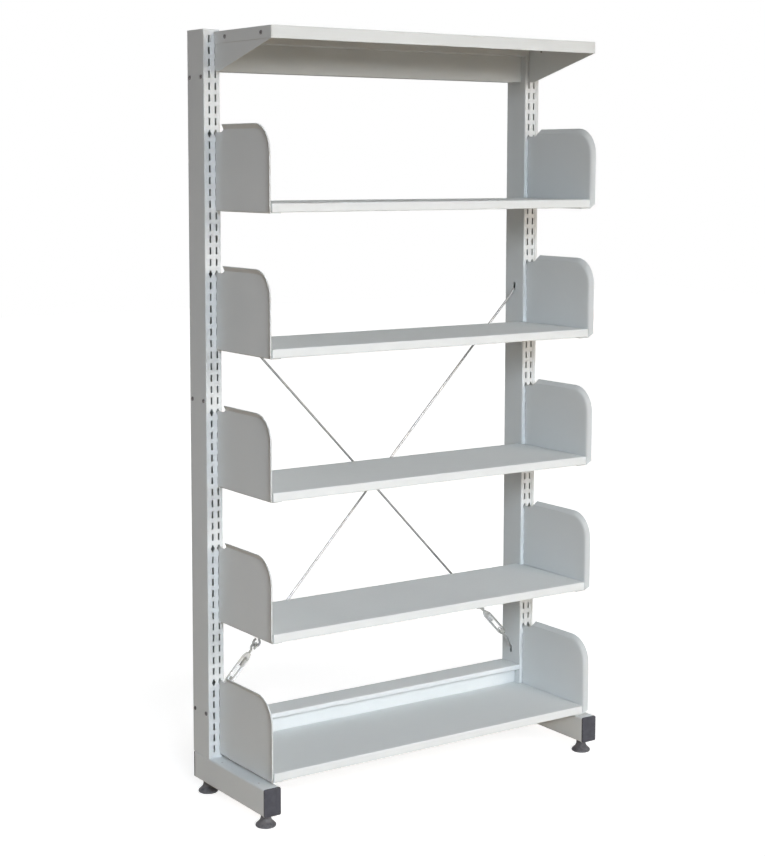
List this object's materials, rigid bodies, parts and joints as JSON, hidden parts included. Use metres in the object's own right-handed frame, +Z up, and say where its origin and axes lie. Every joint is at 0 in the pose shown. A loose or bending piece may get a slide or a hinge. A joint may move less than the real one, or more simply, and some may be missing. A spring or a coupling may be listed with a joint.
{
  "type": "single-sided library rack",
  "caption": "Free-standing single-sided library rack: slotted uprights on levelled base legs, hook-in steel shelves with flared end brackets, a canopy top and a rod-braced back.",
  "frame": {"origin": "on the floor, at the middle of the rack's overall box", "axes": "+Z is up, the open front that a reader faces looks along -Y, and +X is to the right of a reader who faces the rack"},
  "size_m": [0.9196, 0.3134, 1.6793],
  "materials": {
    "light_grey_powder_coat": "light grey semi-gloss powder coat on sheet steel",
    "zinc_plated_steel": "bright zinc plating",
    "black_moulded_plastic": "black moulded plastic, slightly satin"
  },
  "bodies": {
    "frame": {"left_upright": "light_grey_powder_coat", "left_upright_cover": "light_grey_powder_coat", "left_cover_screw_1": "zinc_plated_steel", "left_cover_screw_2": "zinc_plated_steel", "left_cover_screw_3": "zinc_plated_steel", "left_cover_screw_4": "zinc_plated_steel", "left_cover_screw_5": "zinc_plated_steel", "left_cover_screw_6": "zinc_plated_steel", "left_base_leg": "light_grey_powder_coat", "left_front_leg_cap": "black_moulded_plastic", "left_rear_leg_cap": "black_moulded_plastic", "right_upright": "light_grey_powder_coat", "right_upright_cover": "light_grey_powder_coat", "right_cover_screw_1": "zinc_plated_steel", "right_cover_screw_2": "zinc_plated_steel", "right_cover_screw_3": "zinc_plated_steel", "right_cover_screw_4": "zinc_plated_steel", "right_cover_screw_5": "zinc_plated_steel", "right_cover_screw_6": "zinc_plated_steel", "right_base_leg": "light_grey_powder_coat", "right_front_leg_cap": "black_moulded_plastic", "right_rear_leg_cap": "black_moulded_plastic", "top_beam": "light_grey_powder_coat", "bottom_beam": "light_grey_powder_coat", "brace_rod_a": "zinc_plated_steel", "eye_screw_a": "zinc_plated_steel", "hook_screw_a": "zinc_plated_steel", "brace_rod_b": "zinc_plated_steel", "eye_screw_b": "zinc_plated_steel", "hook_screw_b": "zinc_plated_steel"},
    "shelf_1_brackets": {"shelf_1_left_bracket": "light_grey_powder_coat", "shelf_1_right_bracket": "light_grey_powder_coat"},
    "shelf_1_tray": {"shelf_1_plate": "light_grey_powder_coat"},
    "shelf_2_brackets": {"shelf_2_left_bracket": "light_grey_powder_coat", "shelf_2_right_bracket": "light_grey_powder_coat"},
    "shelf_2_tray": {"shelf_2_plate": "light_grey_powder_coat"},
    "shelf_3_brackets": {"shelf_3_left_bracket": "light_grey_powder_coat", "shelf_3_right_bracket": "light_grey_powder_coat"},
    "shelf_3_tray": {"shelf_3_plate": "light_grey_powder_coat"},
    "shelf_4_brackets": {"shelf_4_left_bracket": "light_grey_powder_coat", "shelf_4_right_bracket": "light_grey_powder_coat"},
    "shelf_4_tray": {"shelf_4_plate": "light_grey_powder_coat"},
    "shelf_5_brackets": {"shelf_5_left_bracket": "light_grey_powder_coat", "shelf_5_right_bracket": "light_grey_powder_coat"},
    "shelf_5_tray": {"shelf_5_plate": "light_grey_powder_coat"},
    "canopy": {"canopy_top": "light_grey_powder_coat", "left_canopy_bracket": "light_grey_powder_coat", "left_canopy_screw_1": "zinc_plated_steel", "left_canopy_screw_2": "zinc_plated_steel", "right_canopy_bracket": "light_grey_powder_coat", "right_canopy_screw_1": "zinc_plated_steel", "right_canopy_screw_2": "zinc_plated_steel"},
    "left_front_leveller": {"left_front_foot": "black_moulded_plastic"},
    "left_rear_leveller": {"left_rear_foot": "black_moulded_plastic"},
    "right_front_leveller": {"right_front_foot": "black_moulded_plastic"},
    "right_rear_leveller": {"right_rear_foot": "black_moulded_plastic"},
    "turnbuckle_a_body": {"turnbuckle_a": "zinc_plated_steel"},
    "turnbuckle_b_body": {"turnbuckle_b": "zinc_plated_steel"}
  },
  "joints": [
    {"name": "shelf_1_unhook", "type": "slide", "parent": "frame", "child": "shelf_1_brackets", "axis": [0, 0, 1], "range_m": [0, 0.008]},
    {"name": "shelf_1_lift_off", "type": "slide", "parent": "shelf_1_brackets", "child": "shelf_1_tray", "axis": [0, 0, 1], "range_m": [0, 0.025]},
    {"name": "shelf_2_unhook", "type": "slide", "parent": "frame", "child": "shelf_2_brackets", "axis": [0, 0, 1], "range_m": [0, 0.008]},
    {"name": "shelf_2_lift_off", "type": "slide", "parent": "shelf_2_brackets", "child": "shelf_2_tray", "axis": [0, 0, 1], "range_m": [0, 0.025]},
    {"name": "shelf_3_unhook", "type": "slide", "parent": "frame", "child": "shelf_3_brackets", "axis": [0, 0, 1], "range_m": [0, 0.008]},
    {"name": "shelf_3_lift_off", "type": "slide", "parent": "shelf_3_brackets", "child": "shelf_3_tray", "axis": [0, 0, 1], "range_m": [0, 0.025]},
    {"name": "shelf_4_unhook", "type": "slide", "parent": "frame", "child": "shelf_4_brackets", "axis": [0, 0, 1], "range_m": [0, 0.008]},
    {"name": "shelf_4_lift_off", "type": "slide", "parent": "shelf_4_brackets", "child": "shelf_4_tray", "axis": [0, 0, 1], "range_m": [0, 0.025]},
    {"name": "shelf_5_unhook", "type": "slide", "parent": "frame", "child": "shelf_5_brackets", "axis": [0, 0, 1], "range_m": [0, 0.008]},
    {"name": "shelf_5_lift_off", "type": "slide", "parent": "shelf_5_brackets", "child": "shelf_5_tray", "axis": [0, 0, 1], "range_m": [0, 0.025]},
    {"name": "canopy_unhook", "type": "slide", "parent": "frame", "child": "canopy", "axis": [0, 0, 1], "range_m": [0, 0.008]},
    {"name": "left_front_levelling", "type": "slide", "parent": "frame", "child": "left_front_leveller", "axis": [0, 0, -1], "range_m": [0, 0.02]},
    {"name": "left_rear_levelling", "type": "slide", "parent": "frame", "child": "left_rear_leveller", "axis": [0, 0, -1], "range_m": [0, 0.02]},
    {"name": "right_front_levelling", "type": "slide", "parent": "frame", "child": "right_front_leveller", "axis": [0, 0, -1], "range_m": [0, 0.02]},
    {"name": "right_rear_levelling", "type": "slide", "parent": "frame", "child": "right_rear_leveller", "axis": [0, 0, -1], "range_m": [0, 0.02]},
    {"name": "turnbuckle_a_turn", "type": "hinge", "parent": "frame", "child": "turnbuckle_a_body", "pos_m": [-0.36423, 0.12035, 0.26943], "axis": [0.6887, 0, 0.7251], "continuous": true},
    {"name": "turnbuckle_b_turn", "type": "hinge", "parent": "frame", "child": "turnbuckle_b_body", "pos_m": [0.36423, 0.12035, 0.26943], "axis": [-0.6887, 0, 0.7251], "continuous": true}
  ]
}
